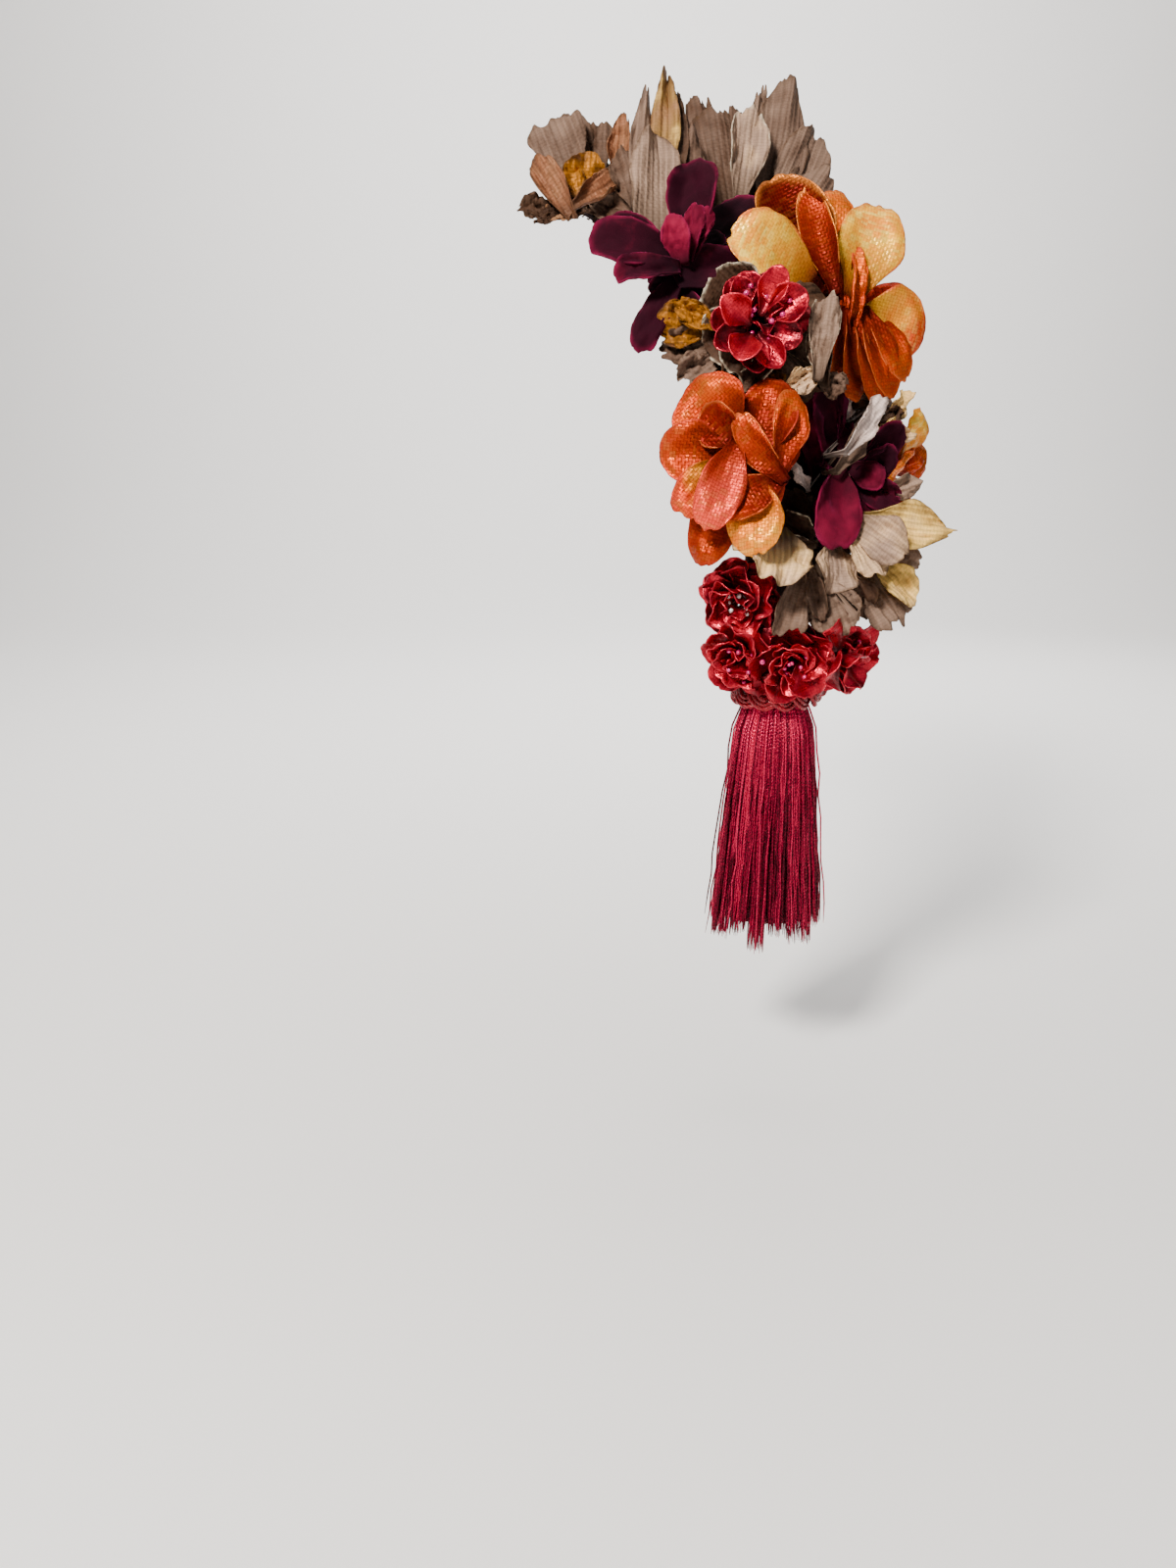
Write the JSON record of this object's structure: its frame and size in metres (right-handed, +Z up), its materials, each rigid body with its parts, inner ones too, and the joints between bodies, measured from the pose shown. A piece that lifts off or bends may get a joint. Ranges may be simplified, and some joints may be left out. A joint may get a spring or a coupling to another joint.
{
  "type": "flower headpiece",
  "caption": "Headpiece of silk flowers sewn on a felt band curved to the back of the head, with a thread tassel hanging at its lower end.",
  "frame": {"origin": "on the inner face of the felt band at its middle, where it sits on the left back of the head", "axes": "+Z up with the head upright, -X the way the wearer looks, -Y towards the wearer's left"},
  "size_m": [0.1566, 0.1268, 0.2993],
  "materials": {
    "felt": "matt felt",
    "comb": "smooth",
    "taupe_silk": "crinkled, faint sheen",
    "burgundy_velvet": "velvet pile",
    "orange_satin": "shot satin",
    "red_satin": "glossy satin",
    "tassel": "rayon thread",
    "cord": "satin cord"
  },
  "bodies": {
    "root": {"felt_base": "felt", "hair_comb": "comb", "red_flower_top": "red_satin", "burgundy_flower_mid": "burgundy_velvet", "orange_flower_left": "orange_satin", "taupe_flower_mid": "taupe_silk", "orange_flower_top": "orange_satin", "orange_flower_right": "orange_satin", "burgundy_flower_top": "burgundy_velvet", "taupe_flower_cup": "taupe_silk", "taupe_flower_low_right": "taupe_silk", "taupe_flower_low_left": "taupe_silk", "red_flower_bottom_mid": "red_satin", "red_flower_low": "red_satin", "red_flower_bottom_right": "red_satin", "red_flower_bottom_left": "red_satin", "taupe_flower_left": "taupe_silk", "taupe_flower_top": "taupe_silk", "taupe_flower_right": "taupe_silk", "orange_flower_back": "orange_satin", "tassel": "tassel", "tassel_collar": "cord"}
  },
  "joints": []
}
